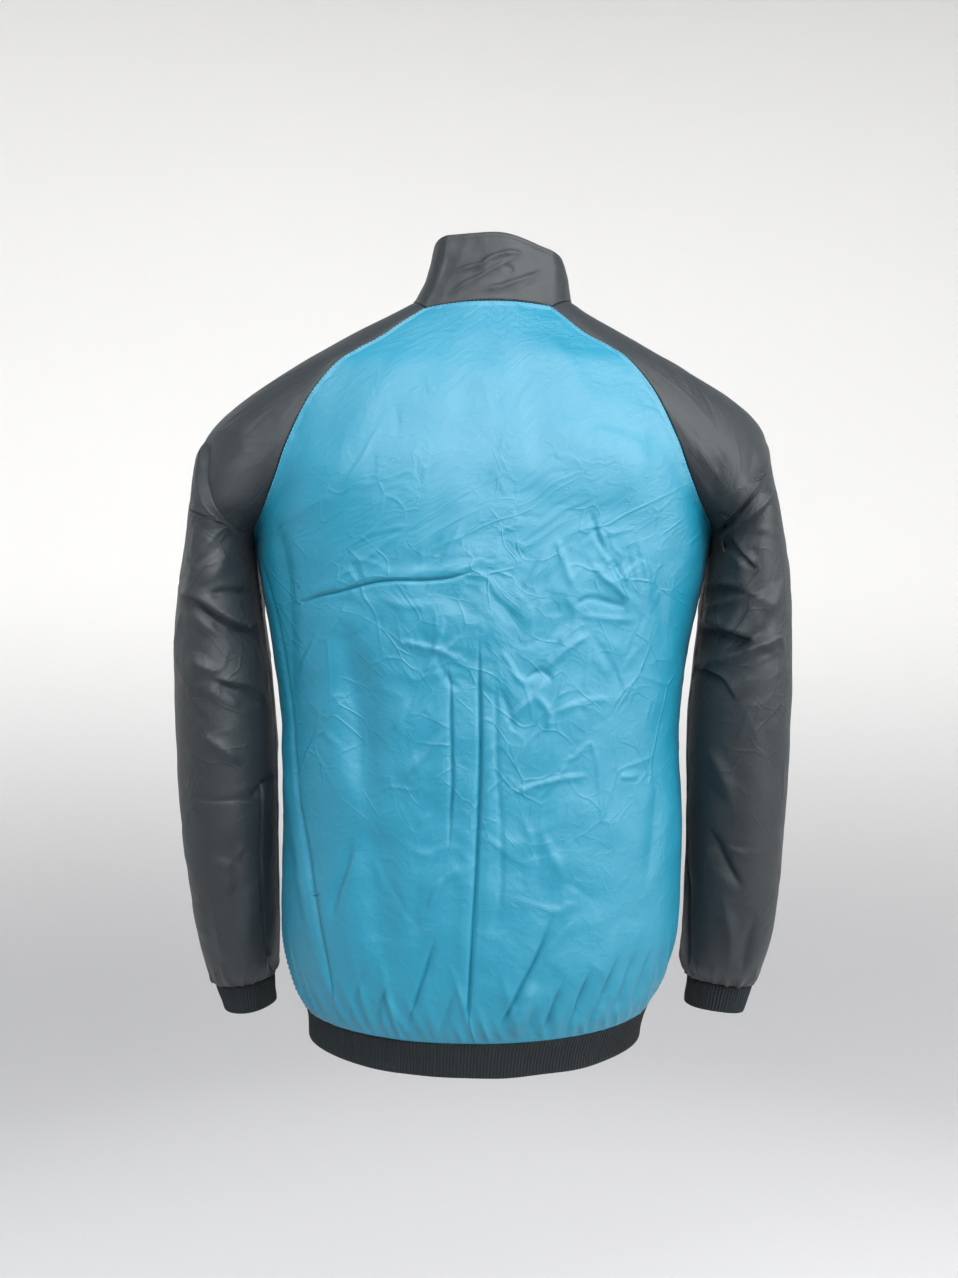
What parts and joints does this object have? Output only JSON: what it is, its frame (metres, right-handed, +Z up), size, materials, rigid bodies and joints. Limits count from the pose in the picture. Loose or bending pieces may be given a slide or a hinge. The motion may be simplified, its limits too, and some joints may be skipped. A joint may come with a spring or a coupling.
{
  "type": "windbreaker",
  "caption": "Zip-front windbreaker with raglan sleeves, a stand collar and rib-knit cuffs and hem, hollow and filled out as it is worn.",
  "frame": {"origin": "middle of the neck opening, on the plane of the zip and level with the neck seam at the centre of the back, where the wearer's neck and shoulders hold the jacket", "axes": "+Z up; the wearer faces -Y, so the back is at +Y; the wearer's left arm is at +X"},
  "size_m": [0.6082, 0.2732, 0.7876],
  "materials": {
    "blue_cloth": "turquoise-blue woven shell with a satin sheen",
    "black_cloth": "charcoal-black woven shell with a satin sheen",
    "black_rib": "black rib knit, matt",
    "zip_tape": "black woven zip tape",
    "zip_metal": "black enamelled metal, semi-gloss"
  },
  "bodies": {
    "jacket": {"back": "blue_cloth", "front_left": "blue_cloth", "front_right": "blue_cloth", "sleeve_left": "black_cloth", "sleeve_right": "black_cloth", "collar": "black_cloth", "hem_band": "black_rib", "cuff_left": "black_rib", "cuff_right": "black_rib", "zip_tape_left": "zip_tape", "zip_tape_right": "zip_tape", "zip_box": "zip_metal", "zip_slider": "zip_metal"},
    "pull_tab": {"zip_pull": "zip_metal"}
  },
  "joints": [
    {"name": "pull_swing", "type": "hinge", "parent": "jacket", "child": "pull_tab", "pos_m": [0, -0.07434, -0.0174], "axis": [-1, 0, 0], "range_deg": [0, 150]}
  ]
}
